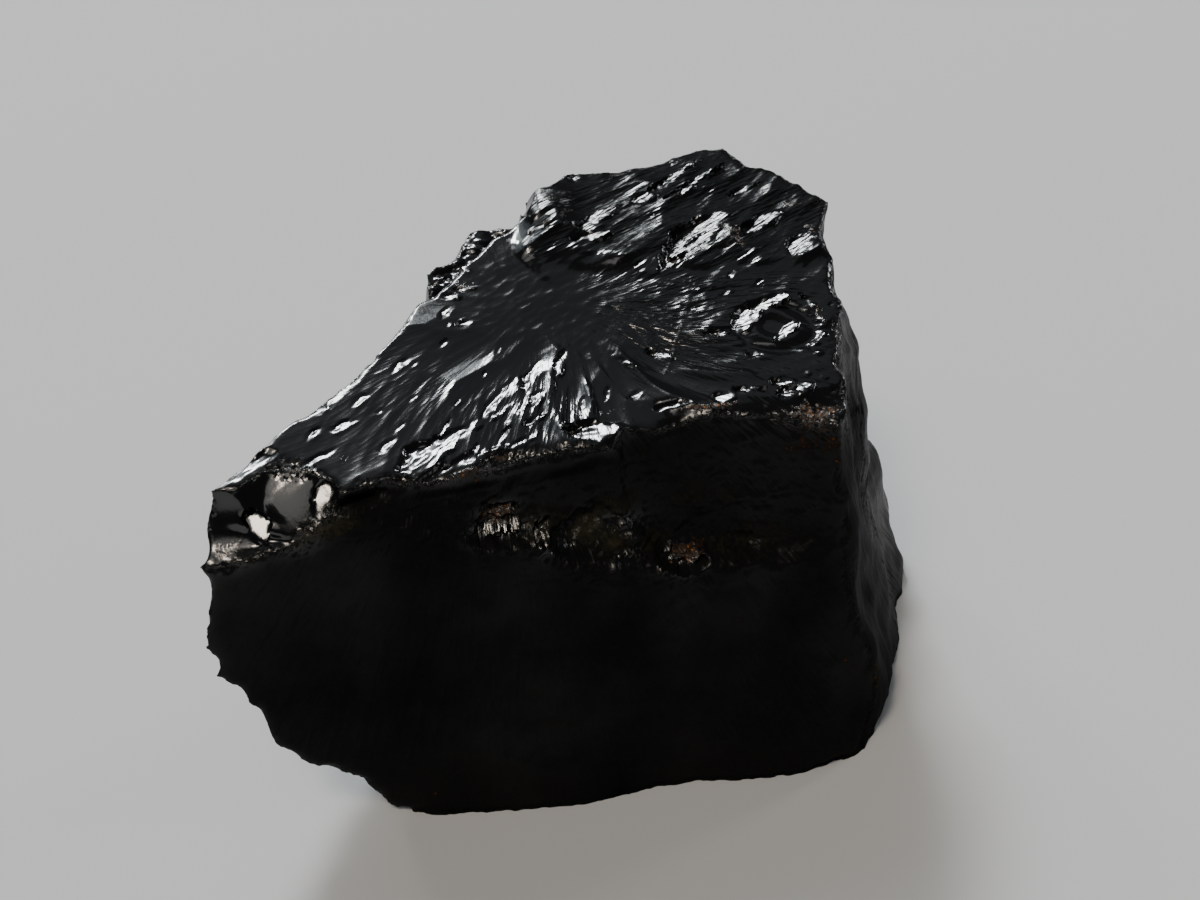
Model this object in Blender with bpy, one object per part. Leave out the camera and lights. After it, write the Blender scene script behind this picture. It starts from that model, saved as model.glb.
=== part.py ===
"""Raw elite shungite: one black, glassy lump of natural carbon, broken from the vein.

The stone stands on a flat parting. Every other side is a fracture, so each one is a
sheet with its own relief, and the body is a block with those fractures struck off it.
"""

import math

import bmesh
import bpy
import numpy as np

# Driving sizes. The corners below are in millimetres and are all scaled together.
MM = 0.001
BLOCK_LOW = (-24.0, -24.0, 0.0)
BLOCK_HIGH = (24.0, 18.0, 28.0)
MIDDLE_X = -0.3
MIDDLE_Y = -3.05
TOP_STEP = 0.52
FRONT_STEP = 0.85
SIDE_STEP = 1.1
CHIP_STEP = 0.45
REACH = 60.0

# Corners of the stone, measured from a point on the table under its middle.
TOP_LEFT = (-17.2, -14.1, 19.0)
TOP_RIGHT_FRONT = (11.2, -8.1, 18.7)
TOP_RIGHT_BACK = (10.6, 7.0, 22.8)
TOP_BACK = (5.6, 9.4, 23.7)
TOP_BACK_LEFT = (-1.9, 6.7, 23.5)
LEFT_TIP = (-17.5, -15.8, 15.6)
LEFT_KNEE = (-17.6, -16.6, 10.1)
CHIP_END = (-11.5, -14.0, 17.2)
FOOT_FRONT = (-4.9, -14.86, 0.0)
FOOT_RIGHT_FRONT = (13.9, -10.1, 0.0)
FOOT_RIGHT = (16.5, -1.5, 0.0)
FOOT_RIGHT_BACK = (16.74, 5.5, 0.0)
FOOT_BACK_RIGHT = (13.5, 7.0, 0.0)
FOOT_BACK = (2.5, 9.0, 0.0)
FOOT_BACK_LEFT = (-8.0, -1.0, 0.0)
FOOT_LEFT_BACK = (-7.0, 2.0, 0.0)
FOOT_LEFT_FRONT = (-9.0, -16.0, 0.4)

# The crack that made the top face started here and ran outwards like a fan.
FAN_U = 17.3
FAN_V = 9.6

# Slopes of the fresh scars, along and across their face: they lean back to the left on
# the top face, and lie like treads on the front and the left corner.
SCAR_LEAN = (0.21, -0.18)
LEDGE_LEAN = (0.40, -0.95)
CHIP_LEAN = (0.13, -0.53)


def chance(i, j, salt):
    """A repeatable number from 0 to 1 for every cell of a grid."""
    value = np.sin(i * 127.1 + j * 311.7 + salt * 74.7) * 43758.5453
    return value - np.floor(value)


def shells(p, q, salt, lean, level):
    """Shallow bowls side by side: each leans its own way and they meet in sharp ridges."""
    lowest = np.full(p.shape, 9.0)
    for step_i in (-1, 0, 1):
        for step_j in (-1, 0, 1):
            i = np.floor(p) + step_i
            j = np.floor(q) + step_j
            dp = p - i - chance(i, j, salt)
            dq = q - j - chance(i, j, salt + 1)
            height = level * chance(i, j, salt + 2) + dp * dp + dq * dq
            height = height + lean * (chance(i, j, salt + 3) - 0.5) * dp
            height = height + lean * (chance(i, j, salt + 4) - 0.5) * dq
            lowest = np.minimum(lowest, height)
    return lowest - 0.25


def turned(u, v, u0, v0, degrees):
    """Distances along and across a heading, from one point."""
    c = math.cos(math.radians(degrees))
    s = math.sin(math.radians(degrees))
    return (u - u0) * c + (v - v0) * s, (v - v0) * c - (u - u0) * s


def dish(u, v, spot, size, floor, rise, lean=(0.0, 0.0)):
    """One scooped flake: spot is u, v and heading, size is half length and half width."""
    along, across = turned(u, v, spot[0], spot[1], spot[2])
    bowl = rise * ((along / size[0]) ** 2 + (across / size[1]) ** 2)
    return floor + bowl + lean[0] * along + lean[1] * across


def ramp(x, width):
    """A smooth change from 0 to 1 centred on zero."""
    t = np.clip(x / width + 0.5, 0.0, 1.0)
    return t * t * (3.0 - 2.0 * t)


def lump(u, v, u0, v0, size_u, size_v):
    """A soft round swelling of height one."""
    return np.exp(-(((u - u0) / size_u) ** 2) - ((v - v0) / size_v) ** 2)


def scar(h, u, v, spot, size, floor, lean):
    """Relief h with one oval flake struck out of it, leaving a flat floor that leans."""
    along, across = turned(u, v, spot[0], spot[1], spot[2])
    inside = ramp(1.0 - (along / size[0]) ** 2 - (across / size[1]) ** 2, 0.5)
    level = floor + lean[0] * (u - spot[0]) + lean[1] * (v - spot[1])
    return h + (level - h) * inside


def top_relief(u, v):
    # Hackles fan out from the start of the crack. They coarsen with distance and are
    # strongest towards the front and the left.
    radius = np.hypot(u - FAN_U, v - FAN_V) + 0.5
    bearing = np.arctan2(u - FAN_U, FAN_V - v)
    fade = np.interp(
        bearing,
        [-3.1, -2.6, -1.5, -1.1, -0.75, -0.2, 0.3, 1.0, 1.8, 2.6, 3.1],
        [0.0, 0.3, 0.3, 0.35, 0.7, 0.8, 0.65, 0.45, 0.4, 0.3, 0.0],
    )
    fade = fade * (1.0 - 0.7 * lump(u, v, 6.5, 4.0, 4.5, 2.8))
    strength = fade * np.clip(0.11 * (radius - 2.4), 0.03, 0.80)
    bearing = bearing + 0.22 * np.sin(radius * 0.28 - 0.6)
    fan = strength * shells(np.log(radius) * 2.2, bearing * 4.6, 11, 1.3, 0.6)
    fan = fan - 0.25 * lump(u, v, 19.0, 5.5, 6.0, 4.0) - 0.05
    # Behind the fan a slightly higher terrace carries long parallel ridges.
    along, across = turned(u, v, 16.5, 11.6, 24.0)
    ridges = 0.38 * shells(along / 3.6, across / 1.15, 23, 1.2, 0.6)
    rise = np.interp(u, [16.0, 22.5, 26.0, 31.0], [0.4, 0.35, 0.1, 0.0])
    edge = np.interp(u, [16.5, 19.9, 23.0, 26.0, 30.0], [11.6, 11.5, 10.9, 10.2, 9.9])
    high = ramp(v - edge, 0.5) * ramp(u - 16.6, 0.6)
    h = fan * (1.0 - high) + (rise + ridges) * high
    h = h + 0.35 * lump(u, v, 17.9, 14.6, 1.2, 1.8)
    # A lower shoulder lies outside the straight left edge.
    outside = (v - 0.922 * u) / 1.36
    h = h - 1.5 * ramp(outside - 0.25, 0.5)
    # Fresh scars: a leaf and a patch on the terrace, long ones by the front edge.
    h = scar(h, u, v, (24.8, 12.4, 39.0), (2.5, 0.95), -0.05, SCAR_LEAN)
    h = scar(h, u, v, (30.2, 11.3, 37.0), (1.2, 0.7), -0.05, SCAR_LEAN)
    h = scar(h, u, v, (11.4, 1.6, 30.0), (3.7, 0.75), -0.15, SCAR_LEAN)
    h = scar(h, u, v, (10.2, -0.1, 19.0), (3.1, 0.65), -0.35, SCAR_LEAN)
    h = scar(h, u, v, (17.5, 1.0, -8.0), (1.7, 0.8), -0.35, SCAR_LEAN)
    h = scar(h, u, v, (1.75, 1.0, 33.0), (1.8, 0.8), -0.1, SCAR_LEAN)
    h = scar(h, u, v, (15.4, 5.0, 57.0), (1.7, 0.7), -0.35, SCAR_LEAN)
    # The eye: a smooth round floor with one raised ring, and two small ovals beside it.
    along, across = turned(u, v, 27.5, 6.2, -16.0)
    reach = np.hypot(along / 1.12, across)
    h = h + (-0.15 - h) * ramp(1.75 - reach, 0.4)
    h = h + 0.16 * np.exp(-(((reach - 1.0) / 0.42) ** 2))
    h = scar(h, u, v, (27.5, 2.1, 8.0), (1.1, 0.6), -0.3, SCAR_LEAN)
    h = scar(h, u, v, (23.9, 2.1, -10.0), (0.9, 0.55), -0.3, SCAR_LEAN)
    # The corner over the right front edge is crushed.
    return h - 0.35 * lump(u, v, 28.6, 0.6, 1.8, 1.2)


def front_relief(u, v):
    # A broad, nearly smooth break with long low swells.
    along, across = turned(u, v, 0.0, 0.0, -14.0)
    h = 0.05 + 0.32 * shells(along / 9.0 + 0.3, across / 6.0 + 0.6, 31, 1.1, 0.4)
    h = h + 0.09 * shells(along / 3.4, across / 1.9, 37, 1.1, 0.5)
    # The band under the top edge is set back, leaving a rough ledge below it.
    ledge = np.interp(
        u,
        [-12.0, -8.3, -6.2, -3.3, -0.7, 1.5, 3.1, 4.8, 6.7, 9.8, 13.1, 17.5],
        [15.7, 16.5, 17.4, 16.4, 15.3, 14.9, 14.3, 13.1, 12.7, 11.8, 11.6, 11.1],
    )
    depth = np.interp(
        u,
        [-7.0, -2.0, 2.0, 6.8, 7.3, 12.0, 15.0, 17.2, 19.0],
        [0.05, 0.6, 1.0, 1.1, 1.4, 1.35, 0.8, 0.3, 0.1],
    )
    band = ramp(v - ledge - 0.5, 1.2)
    h = h - depth * band
    h = h + 0.26 * band * shells(u / 1.7, v / 1.1, 41, 1.2, 0.6)
    h = h + 0.45 * ramp(v - 18.0, 1.0) * ramp(6.9 - u, 0.3) * ramp(u + 3.0, 3.0)
    # Shell-shaped bites sit on the ledge itself.
    h = scar(h, u, v, (1.4, 15.6, 4.0), (1.7, 0.9), -0.75, LEDGE_LEAN)
    h = scar(h, u, v, (5.7, 14.2, -12.0), (1.7, 1.1), -0.8, (0.1, -0.6))
    h = scar(h, u, v, (9.7, 12.5, -6.0), (1.2, 0.6), -0.8, LEDGE_LEAN)
    h = np.minimum(h, dish(u, v, (-5.3, 18.2, 8.0), (1.9, 0.35), -0.9, 0.7))
    # The foot swells forwards, most of all at the right corner.
    h = h + 0.8 * lump(u, v, 5.0, 0.0, 7.0, 3.2)
    h = h + 1.7 * lump(u, v, 15.0, 0.5, 4.6, 4.2)
    return h - 0.9 * lump(u, v, -6.2, 0.5, 2.6, 2.5)


def chip_relief(u, v):
    # A glassy scoop out of the left corner, with upright flakes side by side beyond it.
    h = dish(u, v, (1.6, 1.5, 0.0), (2.6, 2.2), -0.60, 0.75, (0.1, -0.25))
    h = np.minimum(h, dish(u, v, (4.7, 1.3, 72.0), (2.2, 1.5), -0.62, 0.5, (-0.30, -0.1)))
    h = scar(h, u, v, (3.15, 1.15, 82.0), (0.9, 0.42), -0.55, CHIP_LEAN)
    h = scar(h, u, v, (6.0, 1.25, 50.0), (0.8, 0.5), -0.40, CHIP_LEAN)
    h = h + 0.14 * shells(u / 0.9, v / 0.9, 53, 1.0, 0.5) * ramp(-0.2 - u, 0.6)
    return h + 0.5 * ramp(u - 7.2, 1.5)


def left_relief(u, v):
    # Large shells on the left side, and the shoulder that sticks out near the back.
    along, across = turned(u, v, 0.0, 0.0, 33.0)
    h = 1.7 * shells(along / 8.5 + 0.4, across / 6.0 + 0.1, 61, 1.2, 0.5)
    h = np.minimum(h, dish(u, v, (7.5, 8.0, 62.0), (7.5, 4.6), -1.5, 1.3))
    h = np.minimum(h, dish(u, v, (13.5, 15.5, 20.0), (5.0, 3.2), -1.0, 1.2))
    h = h + 0.55 * shells(along / 3.9, across / 2.3, 67, 1.5, 0.6)
    ring = np.hypot(u - 7.5, v + 3.0)
    h = h + 0.06 * np.sin(ring * 2.3) * lump(u, v, 7.5, 8.0, 4.5, 6.0)
    h = h * ramp(u - 0.5, 7.0) - 1.3 * lump(u, v, -4.0, 7.0, 4.5, 5.0)
    shoulder = ramp(u - 16.4, 1.4) * ramp(22.4 - u, 2.4) * ramp(-v + 13.0, 12.0)
    return h + 2.1 * shoulder


def under_relief(u, v):
    # A stepped, splintery underside to the overhanging left end.
    rise = np.floor(v / 2.3 + 0.8 * np.sin(u * 0.45)) % 2.0
    along, across = turned(u, v, 0.0, 0.0, 18.0)
    h = 0.25 * rise + 0.55 * shells(along / 3.4, across / 2.0, 71, 1.3, 0.6)
    h = h - 0.7 * lump(u, v, 20.0, 14.0, 3.0, 3.5)
    return h - 0.9 * lump(u, v, 9.0, 5.5, 6.0, 3.5)


def right_front_relief(u, v):
    # The narrow right side is hollow half way up and swells out near the foot.
    along, across = turned(u, v, 0.0, 0.0, 24.0)
    h = 0.5 * shells(along / 3.6, across / 5.2, 79, 1.2, 0.5)
    h = h + 0.3 * shells(along / 1.9, across / 2.6, 83, 1.4, 0.5)
    h = h - 0.5 * np.exp(-(((v - 9.0) / 4.5) ** 2))
    return h + 0.5 * lump(u, v, 1.0, 2.8, 4.0, 1.8)


def right_relief(u, v):
    # Two long scoops side by side, with curved ribs left by the travelling crack.
    along, across = turned(u, v, 0.0, 0.0, -27.0)
    h = 0.2 + 1.0 * shells(along / 7.0 + 0.2, across / 6.0, 89, 1.2, 0.5)
    h = np.minimum(h, dish(u, v, (2.5, 7.0, 76.0), (8.0, 4.0), -0.9, 1.2))
    h = np.minimum(h, dish(u, v, (7.5, 14.0, 104.0), (8.0, 3.2), -0.9, 1.2))
    h = h + 0.50 * shells(along / 3.3, across / 2.4, 97, 1.5, 0.6)
    ring = np.hypot(u - 4.0, v - 24.0)
    return h + 0.05 * np.sin(ring * 2.1) * lump(u, v, 4.0, 9.0, 5.0, 8.0)


def back_right_relief(u, v):
    along, across = turned(u, v, 0.0, 0.0, 31.0)
    h = 1.0 * shells(along / 5.0 + 0.5, across / 6.5, 101, 1.2, 0.5)
    h = np.minimum(h, dish(u, v, (6.0, 13.0, 98.0), (7.0, 3.6), -1.0, 1.2))
    return h + 0.50 * shells(along / 3.4, across / 2.2, 103, 1.5, 0.6)


def back_relief(u, v):
    # One wide shell struck from the top edge, crossed by ribs, and a smaller one below.
    along, across = turned(u, v, 0.0, 0.0, -22.0)
    h = 1.1 * shells(along / 6.0, across / 5.0, 107, 1.2, 0.5)
    h = np.minimum(h, dish(u, v, (4.0, 6.5, 80.0), (7.5, 5.5), -1.3, 1.3))
    h = np.minimum(h, dish(u, v, (0.5, 16.0, 40.0), (6.0, 4.0), -1.0, 1.2))
    h = h + 0.55 * shells(along / 3.8, across / 2.4, 109, 1.5, 0.6)
    ring = np.hypot(u - 4.5, v + 1.5)
    return h + 0.05 * np.sin(ring * 2.3) * lump(u, v, 4.0, 6.5, 4.0, 5.0) - 0.2


def grid_lines(low, high, step):
    """Evenly spaced lines over the face, with one far line on either side."""
    count = int(round((high - low) / step)) + 1
    return np.concatenate([[-REACH], np.linspace(low, high, count), [REACH]])


def fracture(name, corners, span_u, span_v, step, relief):
    """A slab lying against the stone, its inner face being the broken surface."""
    first, second, third = (np.array(corner) for corner in corners)
    along = (second - first) / np.linalg.norm(second - first)
    out = np.cross(along, third - first)
    out = out / np.linalg.norm(out)
    across = np.cross(out, along)
    lines_u = grid_lines(span_u[0], span_u[1], step)
    lines_v = grid_lines(span_v[0], span_v[1], step)
    u, v = np.meshgrid(lines_u, lines_v, indexing="ij")
    h = np.clip(relief(u, v), -4.0, 4.0)
    flat = first + u[..., None] * along + v[..., None] * across
    near = flat + h[..., None] * out
    far = flat + REACH * out
    bm = bmesh.new()
    rows = [[bm.verts.new(p * MM) for p in row] for row in near]
    for i in range(len(rows) - 1):
        for j in range(len(rows[0]) - 1):
            quad = (rows[i][j], rows[i][j + 1], rows[i + 1][j + 1], rows[i + 1][j])
            bm.faces.new(quad)
    last_i, last_j = len(rows) - 1, len(rows[0]) - 1
    loop = [(i, 0) for i in range(last_i)]
    loop += [(last_i, j) for j in range(last_j)]
    loop += [(i, last_j) for i in range(last_i, 0, -1)]
    loop += [(0, j) for j in range(last_j, 0, -1)]
    rim = [rows[i][j] for i, j in loop]
    lid = [bm.verts.new(far[i, j] * MM) for i, j in loop]
    for k in range(len(loop)):
        bm.faces.new((rim[k], rim[k - 1], lid[k - 1], lid[k]))
    bm.faces.new(lid)
    bmesh.ops.triangulate(bm, faces=bm.faces)
    bmesh.ops.recalc_face_normals(bm, faces=bm.faces)
    mesh = bpy.data.meshes.new(name)
    bm.to_mesh(mesh)
    bm.free()
    slab = bpy.data.objects.new(name, mesh)
    slab.location = (-MIDDLE_X * MM, -MIDDLE_Y * MM, 0.0)
    slab.hide_render = True
    slab.display_type = "WIRE"
    bpy.context.collection.objects.link(slab)
    return slab


for thing in list(bpy.data.objects):
    bpy.data.objects.remove(thing, do_unlink=True)

fractures = [
    fracture(
        "fracture_top",
        (TOP_LEFT, TOP_RIGHT_FRONT, TOP_RIGHT_BACK),
        (-2.0, 34.0),
        (-5.0, 21.0),
        TOP_STEP,
        top_relief,
    ),
    fracture(
        "fracture_front",
        (FOOT_FRONT, FOOT_RIGHT_FRONT, LEFT_TIP),
        (-15.0, 22.0),
        (-2.0, 22.0),
        FRONT_STEP,
        front_relief,
    ),
    fracture(
        "fracture_chip",
        (LEFT_TIP, CHIP_END, TOP_LEFT),
        (-2.5, 9.0),
        (-2.0, 6.0),
        CHIP_STEP,
        chip_relief,
    ),
    fracture(
        "fracture_left",
        (TOP_LEFT, TOP_BACK_LEFT, FOOT_BACK_LEFT),
        (-6.0, 29.0),
        (-4.0, 26.0),
        SIDE_STEP,
        left_relief,
    ),
    fracture(
        "fracture_under",
        (FOOT_LEFT_BACK, FOOT_LEFT_FRONT, LEFT_KNEE),
        (-8.0, 22.0),
        (-3.0, 17.0),
        SIDE_STEP,
        under_relief,
    ),
    fracture(
        "fracture_right_front",
        (FOOT_RIGHT_FRONT, FOOT_RIGHT, TOP_RIGHT_FRONT),
        (-4.0, 12.0),
        (-2.0, 22.0),
        SIDE_STEP,
        right_front_relief,
    ),
    fracture(
        "fracture_right",
        (FOOT_RIGHT, FOOT_RIGHT_BACK, TOP_RIGHT_BACK),
        (-8.0, 14.0),
        (-2.0, 27.0),
        SIDE_STEP,
        right_relief,
    ),
    fracture(
        "fracture_back_right",
        (TOP_BACK, TOP_RIGHT_BACK, FOOT_BACK_RIGHT),
        (-4.0, 18.0),
        (-3.0, 26.0),
        SIDE_STEP,
        back_right_relief,
    ),
    fracture(
        "fracture_back",
        (TOP_BACK_LEFT, TOP_BACK, FOOT_BACK),
        (-12.0, 12.0),
        (-3.0, 26.0),
        SIDE_STEP,
        back_relief,
    ),
]

# The unbroken block stands on the flat parting that becomes the stone's base.
low, high = BLOCK_LOW, BLOCK_HIGH
bm = bmesh.new()
bmesh.ops.create_cube(bm, size=1.0)
for vert in bm.verts:
    for axis in range(3):
        span = high[axis] - low[axis]
        vert.co[axis] = (low[axis] + (vert.co[axis] + 0.5) * span) * MM
mesh = bpy.data.meshes.new("shungite_stone")
bm.to_mesh(mesh)
bm.free()
stone = bpy.data.objects.new("shungite_stone", mesh)
bpy.context.collection.objects.link(stone)

for slab in fractures:
    cut = stone.modifiers.new(slab.name, "BOOLEAN")
    cut.operation = "DIFFERENCE"
    cut.solver = "EXACT"
    cut.object = slab

black = bpy.data.materials.new("elite_shungite")
black.use_nodes = True
surface = black.node_tree.nodes["Principled BSDF"]
surface.inputs["Base Color"].default_value = (0.012, 0.012, 0.013, 1.0)
surface.inputs["Roughness"].default_value = 0.22
surface.inputs["IOR"].default_value = 2.1
stone.data.materials.append(black)
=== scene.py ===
import math
from collections import namedtuple

import bpy
import numpy as np
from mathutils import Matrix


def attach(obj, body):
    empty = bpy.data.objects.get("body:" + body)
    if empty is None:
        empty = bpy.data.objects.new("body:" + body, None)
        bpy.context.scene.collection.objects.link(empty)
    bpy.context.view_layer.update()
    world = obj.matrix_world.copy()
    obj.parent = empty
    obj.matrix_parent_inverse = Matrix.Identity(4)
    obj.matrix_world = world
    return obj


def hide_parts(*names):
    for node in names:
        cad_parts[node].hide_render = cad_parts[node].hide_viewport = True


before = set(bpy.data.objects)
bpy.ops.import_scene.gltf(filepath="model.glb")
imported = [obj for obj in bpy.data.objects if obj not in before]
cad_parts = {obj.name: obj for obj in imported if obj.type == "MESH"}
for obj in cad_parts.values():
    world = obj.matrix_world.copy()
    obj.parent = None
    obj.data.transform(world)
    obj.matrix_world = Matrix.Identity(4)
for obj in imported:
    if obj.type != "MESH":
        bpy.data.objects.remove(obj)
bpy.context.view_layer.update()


# ---------------------------------------------------------------------------------------
# Top face. Elite shungite is a natural carbon glass, and the crack that made this face
# started at one point behind the middle. It tore the glass into hackles that fan out
# from there, and left a slightly higher terrace of long parallel ridges behind.
#
# Corners are in millimetres from a point on the table under the stone. On each fracture
# u runs along its first edge and v across it, in millimetres too.
MM = 0.001
MIDDLE_X = -0.3
MIDDLE_Y = -3.05
REACH = 60.0
TOP_LEFT = (-17.2, -14.1, 19.0)
TOP_RIGHT_FRONT = (11.2, -8.1, 18.7)
TOP_RIGHT_BACK = (10.6, 7.0, 22.8)
FAN_U = 17.3
FAN_V = 9.6
EYE_U = 27.5
EYE_V = 6.2
# Where the ridges of the terrace start, as u and v, and their heading.
RIDGES = (16.5, 11.6, 24.0)
TOP_STEP = 0.11


def chance(i, j, salt):
    """A repeatable number from 0 to 1 for every cell of a grid; salt picks another set."""
    value = np.sin(i * 127.1 + j * 311.7 + salt * 74.7) * 43758.5453
    return value - np.floor(value)


def shells(p, q, salt, lean, level):
    """Shallow bowls side by side: each leans its own way and they meet in sharp ridges.

    lean is how far the bowls tilt, and level how much they differ in depth.
    """
    lowest = np.full(p.shape, 9.0)
    for step_i in (-1, 0, 1):
        for step_j in (-1, 0, 1):
            i = np.floor(p) + step_i
            j = np.floor(q) + step_j
            dp = p - i - chance(i, j, salt)
            dq = q - j - chance(i, j, salt + 1)
            height = level * chance(i, j, salt + 2) + dp * dp + dq * dq
            height = height + lean * (chance(i, j, salt + 3) - 0.5) * dp
            height = height + lean * (chance(i, j, salt + 4) - 0.5) * dq
            lowest = np.minimum(lowest, height)
    return lowest - 0.25


def turned(u, v, u0, v0, degrees):
    """Distances along and across a heading, from one point."""
    c = math.cos(math.radians(degrees))
    s = math.sin(math.radians(degrees))
    return (u - u0) * c + (v - v0) * s, (v - v0) * c - (u - u0) * s


def dish(u, v, spot, size, floor, rise, lean=(0.0, 0.0)):
    """One scooped flake: spot is u, v and heading, size is half length and half width."""
    along, across = turned(u, v, spot[0], spot[1], spot[2])
    bowl = rise * ((along / size[0]) ** 2 + (across / size[1]) ** 2)
    return floor + bowl + lean[0] * along + lean[1] * across


def ramp(x, width):
    """A smooth change from 0 to 1 centred on zero."""
    t = np.clip(x / width + 0.5, 0.0, 1.0)
    return t * t * (3.0 - 2.0 * t)


def lump(u, v, u0, v0, size_u, size_v):
    """A soft round swelling of height one."""
    return np.exp(-(((u - u0) / size_u) ** 2) - ((v - v0) / size_v) ** 2)


def wander(u, v, size, salt):
    """A smooth slow wobble between -1 and 1."""
    a = np.sin(u / size + salt) * np.cos(v / size * 1.3 + salt * 2.1)
    b = np.sin((u + v) / size * 0.7 + salt * 3.7)
    return 0.5 * (a + b)


def profile(x, points):
    """The height at x of a line drawn through points, level before and after them."""
    places_x, heights = zip(*points)
    return np.interp(x, places_x, heights)


def scar(h, u, v, spot, size, floor, lean, ribs=0.010, soft=0.3):
    """Relief h with one ragged flake struck out, leaving a ribbed floor that leans.

    spot and size are as for a dish. ribs is the height of the ribs on the floor, and a
    larger soft lets the flake run out more gently at its edge.
    """
    close = np.hypot(u - spot[0], v - spot[1]) < 1.7 * max(size)
    if not close.any():
        return h
    p, q = u[close], v[close]
    along, across = turned(p, q, spot[0], spot[1], spot[2])
    ragged = 0.26 * wander(p, q, 0.16 + 0.25 * size[1], spot[0])
    ragged = ragged + 0.14 * wander(p, q, 0.13, spot[1])
    inside = 1.0 - (1.0 + ragged) * ((along / size[0]) ** 2 + abs(across / size[1]) ** 1.3)
    level = floor + lean[0] * (p - spot[0]) + lean[1] * (q - spot[1])
    ring = np.hypot(along + 1.3 * size[0], across)
    level = level + ribs * np.sin(ring * 9.0 + 2.0 * wander(p, q, 0.7, spot[1]))
    level = level + 5.0 * ribs * shells(along / 0.8, across / 0.26, spot[0], 1.2, 0.6)
    struck = h.copy()
    struck[close] = h[close] + (level - h[close]) * ramp(inside, soft)
    return struck


def fan_lines(u, v):
    """Distance from the start of the crack and bearing round it, zero to the front."""
    right = u - FAN_U + 0.9 * wander(u, v, 2.3, 51.0)
    ahead = FAN_V - v + 0.8 * wander(u, v, 2.0, 53.0)
    return np.hypot(right, ahead) + 0.5, np.arctan2(right, ahead)


def terrace(u, v):
    """One on the raised terrace behind the fan, nought elsewhere."""
    edge = profile(u, [(16.5, 11.6), (19.9, 11.5), (23.0, 10.9), (26.0, 10.2), (30.0, 9.9)])
    edge = edge + 0.45 * wander(u, v, 1.1, 7.0) + 0.22 * wander(u, v, 0.4, 27.0)
    side = u - 16.6 - 0.5 * wander(u, v, 0.7, 29.0)
    return ramp(v - edge, 2.4) * ramp(side, 1.3)


# How far the hackles stand out and how clear the hairlines are, by bearing in radians.
HACKLES_BY_BEARING = [
    (-3.1, 0.0),
    (-2.6, 0.3),
    (-1.1, 0.3),
    (-0.75, 0.5),
    (-0.2, 0.8),
    (0.3, 0.65),
    (1.0, 0.45),
    (1.8, 0.4),
    (2.6, 0.3),
    (3.1, 0.0),
]
HAIRLINES_BY_BEARING = [
    (-3.1, 0.2),
    (-1.0, 0.3),
    (-0.7, 0.5),
    (-0.3, 1.0),
    (0.3, 0.8),
    (0.6, 0.7),
    (1.1, 1.4),
    (2.0, 1.1),
    (3.1, 0.2),
]


def liveliness(u, v, bearing):
    """How strongly hairlines show: in gusts, most to the right of the fan and before it."""
    gusts = np.clip(0.7 + 0.9 * wander(u, v, 2.6, 37.0), 0.3, 1.0)
    return profile(bearing, HAIRLINES_BY_BEARING) * gusts


# Fresh flake scars: u, v, heading, half length and half width.
TOP_SCARS = [
    (24.8, 12.4, 39.0, 2.40, 0.85),
    (28.6, 13.1, 25.0, 1.30, 0.42),
    (30.2, 11.3, 37.0, 1.00, 0.60),
    (20.4, 14.4, 27.0, 1.40, 0.36),
    (19.8, 13.1, 2.0, 1.10, 0.28),
    (19.8, 17.5, 40.0, 0.40, 0.28),
    (23.0, 15.4, 7.0, 0.75, 0.30),
    (24.9, 16.9, 30.0, 1.90, 0.16),
    (25.9, 16.4, 30.0, 2.10, 0.14),
    (28.2, 15.6, 20.0, 0.90, 0.16),
    (10.2, 1.0, 30.0, 2.40, 0.48),
    (13.3, 2.6, 34.0, 0.90, 0.14),
    (9.4, 0.5, 35.0, 1.30, 0.75),
    (11.2, -0.1, 18.0, 2.40, 0.42),
    (14.9, 2.0, 24.0, 0.70, 0.16),
    (14.1, 0.8, 18.0, 0.90, 0.16),
    (8.0, 1.4, 38.0, 0.60, 0.26),
    (12.9, 3.0, 48.0, 0.70, 0.24),
    (13.9, 4.1, 42.0, 1.10, 0.24),
    (15.3, 4.9, 57.0, 1.15, 0.26),
    (16.7, 5.3, 64.0, 1.05, 0.24),
    (15.2, 3.3, 45.0, 0.60, 0.34),
    (17.6, 1.0, -8.0, 1.55, 0.62),
    (21.6, 1.9, -5.0, 1.10, 0.22),
    (1.75, 1.0, 33.0, 1.50, 0.62),
    (1.3, -0.1, 33.0, 0.70, 0.22),
    (4.1, 0.8, 28.0, 1.70, 0.22),
    (6.1, 2.9, 45.0, 0.50, 0.28),
    (7.1, 4.3, 40.0, 0.50, 0.26),
    (9.2, 6.2, 42.0, 0.60, 0.24),
    (11.9, 9.3, 45.0, 0.55, 0.22),
    (26.2, 9.7, 50.0, 0.34, 0.20),
    (25.7, 8.6, 17.0, 0.36, 0.16),
    (27.6, 9.1, 30.0, 0.30, 0.16),
    (27.5, 2.1, 8.0, 1.00, 0.42),
    (24.0, 2.1, -10.0, 0.62, 0.34),
    (25.3, 2.4, -8.0, 0.75, 0.12),
    (20.0, 3.0, 20.0, 0.45, 0.20),
    (18.6, 3.2, 70.0, 0.50, 0.16),
    (29.6, 7.5, -60.0, 0.70, 0.12),
]
FLECKS = 120
FLECK_SALT = 401


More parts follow.
